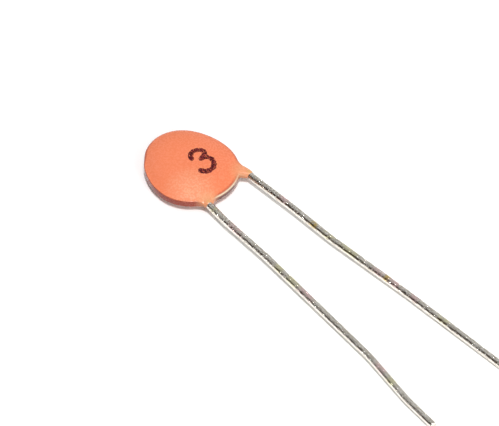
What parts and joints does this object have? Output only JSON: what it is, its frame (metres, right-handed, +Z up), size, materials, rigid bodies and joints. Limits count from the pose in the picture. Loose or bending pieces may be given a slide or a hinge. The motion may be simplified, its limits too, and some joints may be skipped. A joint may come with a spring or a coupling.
{
  "type": "ceramic disc capacitor",
  "caption": "Ceramic disc capacitor: a thin pillow-faced disc dipped in orange resin, with straight tinned wire leads that leave its edge through short resin collars.",
  "frame": {"origin": "under the middle of the whole part, on the surface it lies on", "axes": "+X runs with the leads, away from the disc; +Y is across the leads, to the left of +X; +Z is up, square to the disc's faces"},
  "size_m": [0.0298, 0.0072, 0.0012],
  "materials": {
    "ceramic": "sintered, matte",
    "silver_film": "fired silver, satin",
    "solder": "smooth, frosted",
    "tinned_wire": "tinned, drawn, lightly tarnished",
    "orange_resin": "dipped resin, satin to semi-gloss"
  },
  "bodies": {
    "root": {"ceramic_disc": "ceramic", "top_electrode": "silver_film", "bottom_electrode": "silver_film", "top_solder": "solder", "bottom_solder": "solder", "left_lead": "tinned_wire", "right_lead": "tinned_wire", "coating": "orange_resin"}
  },
  "joints": []
}
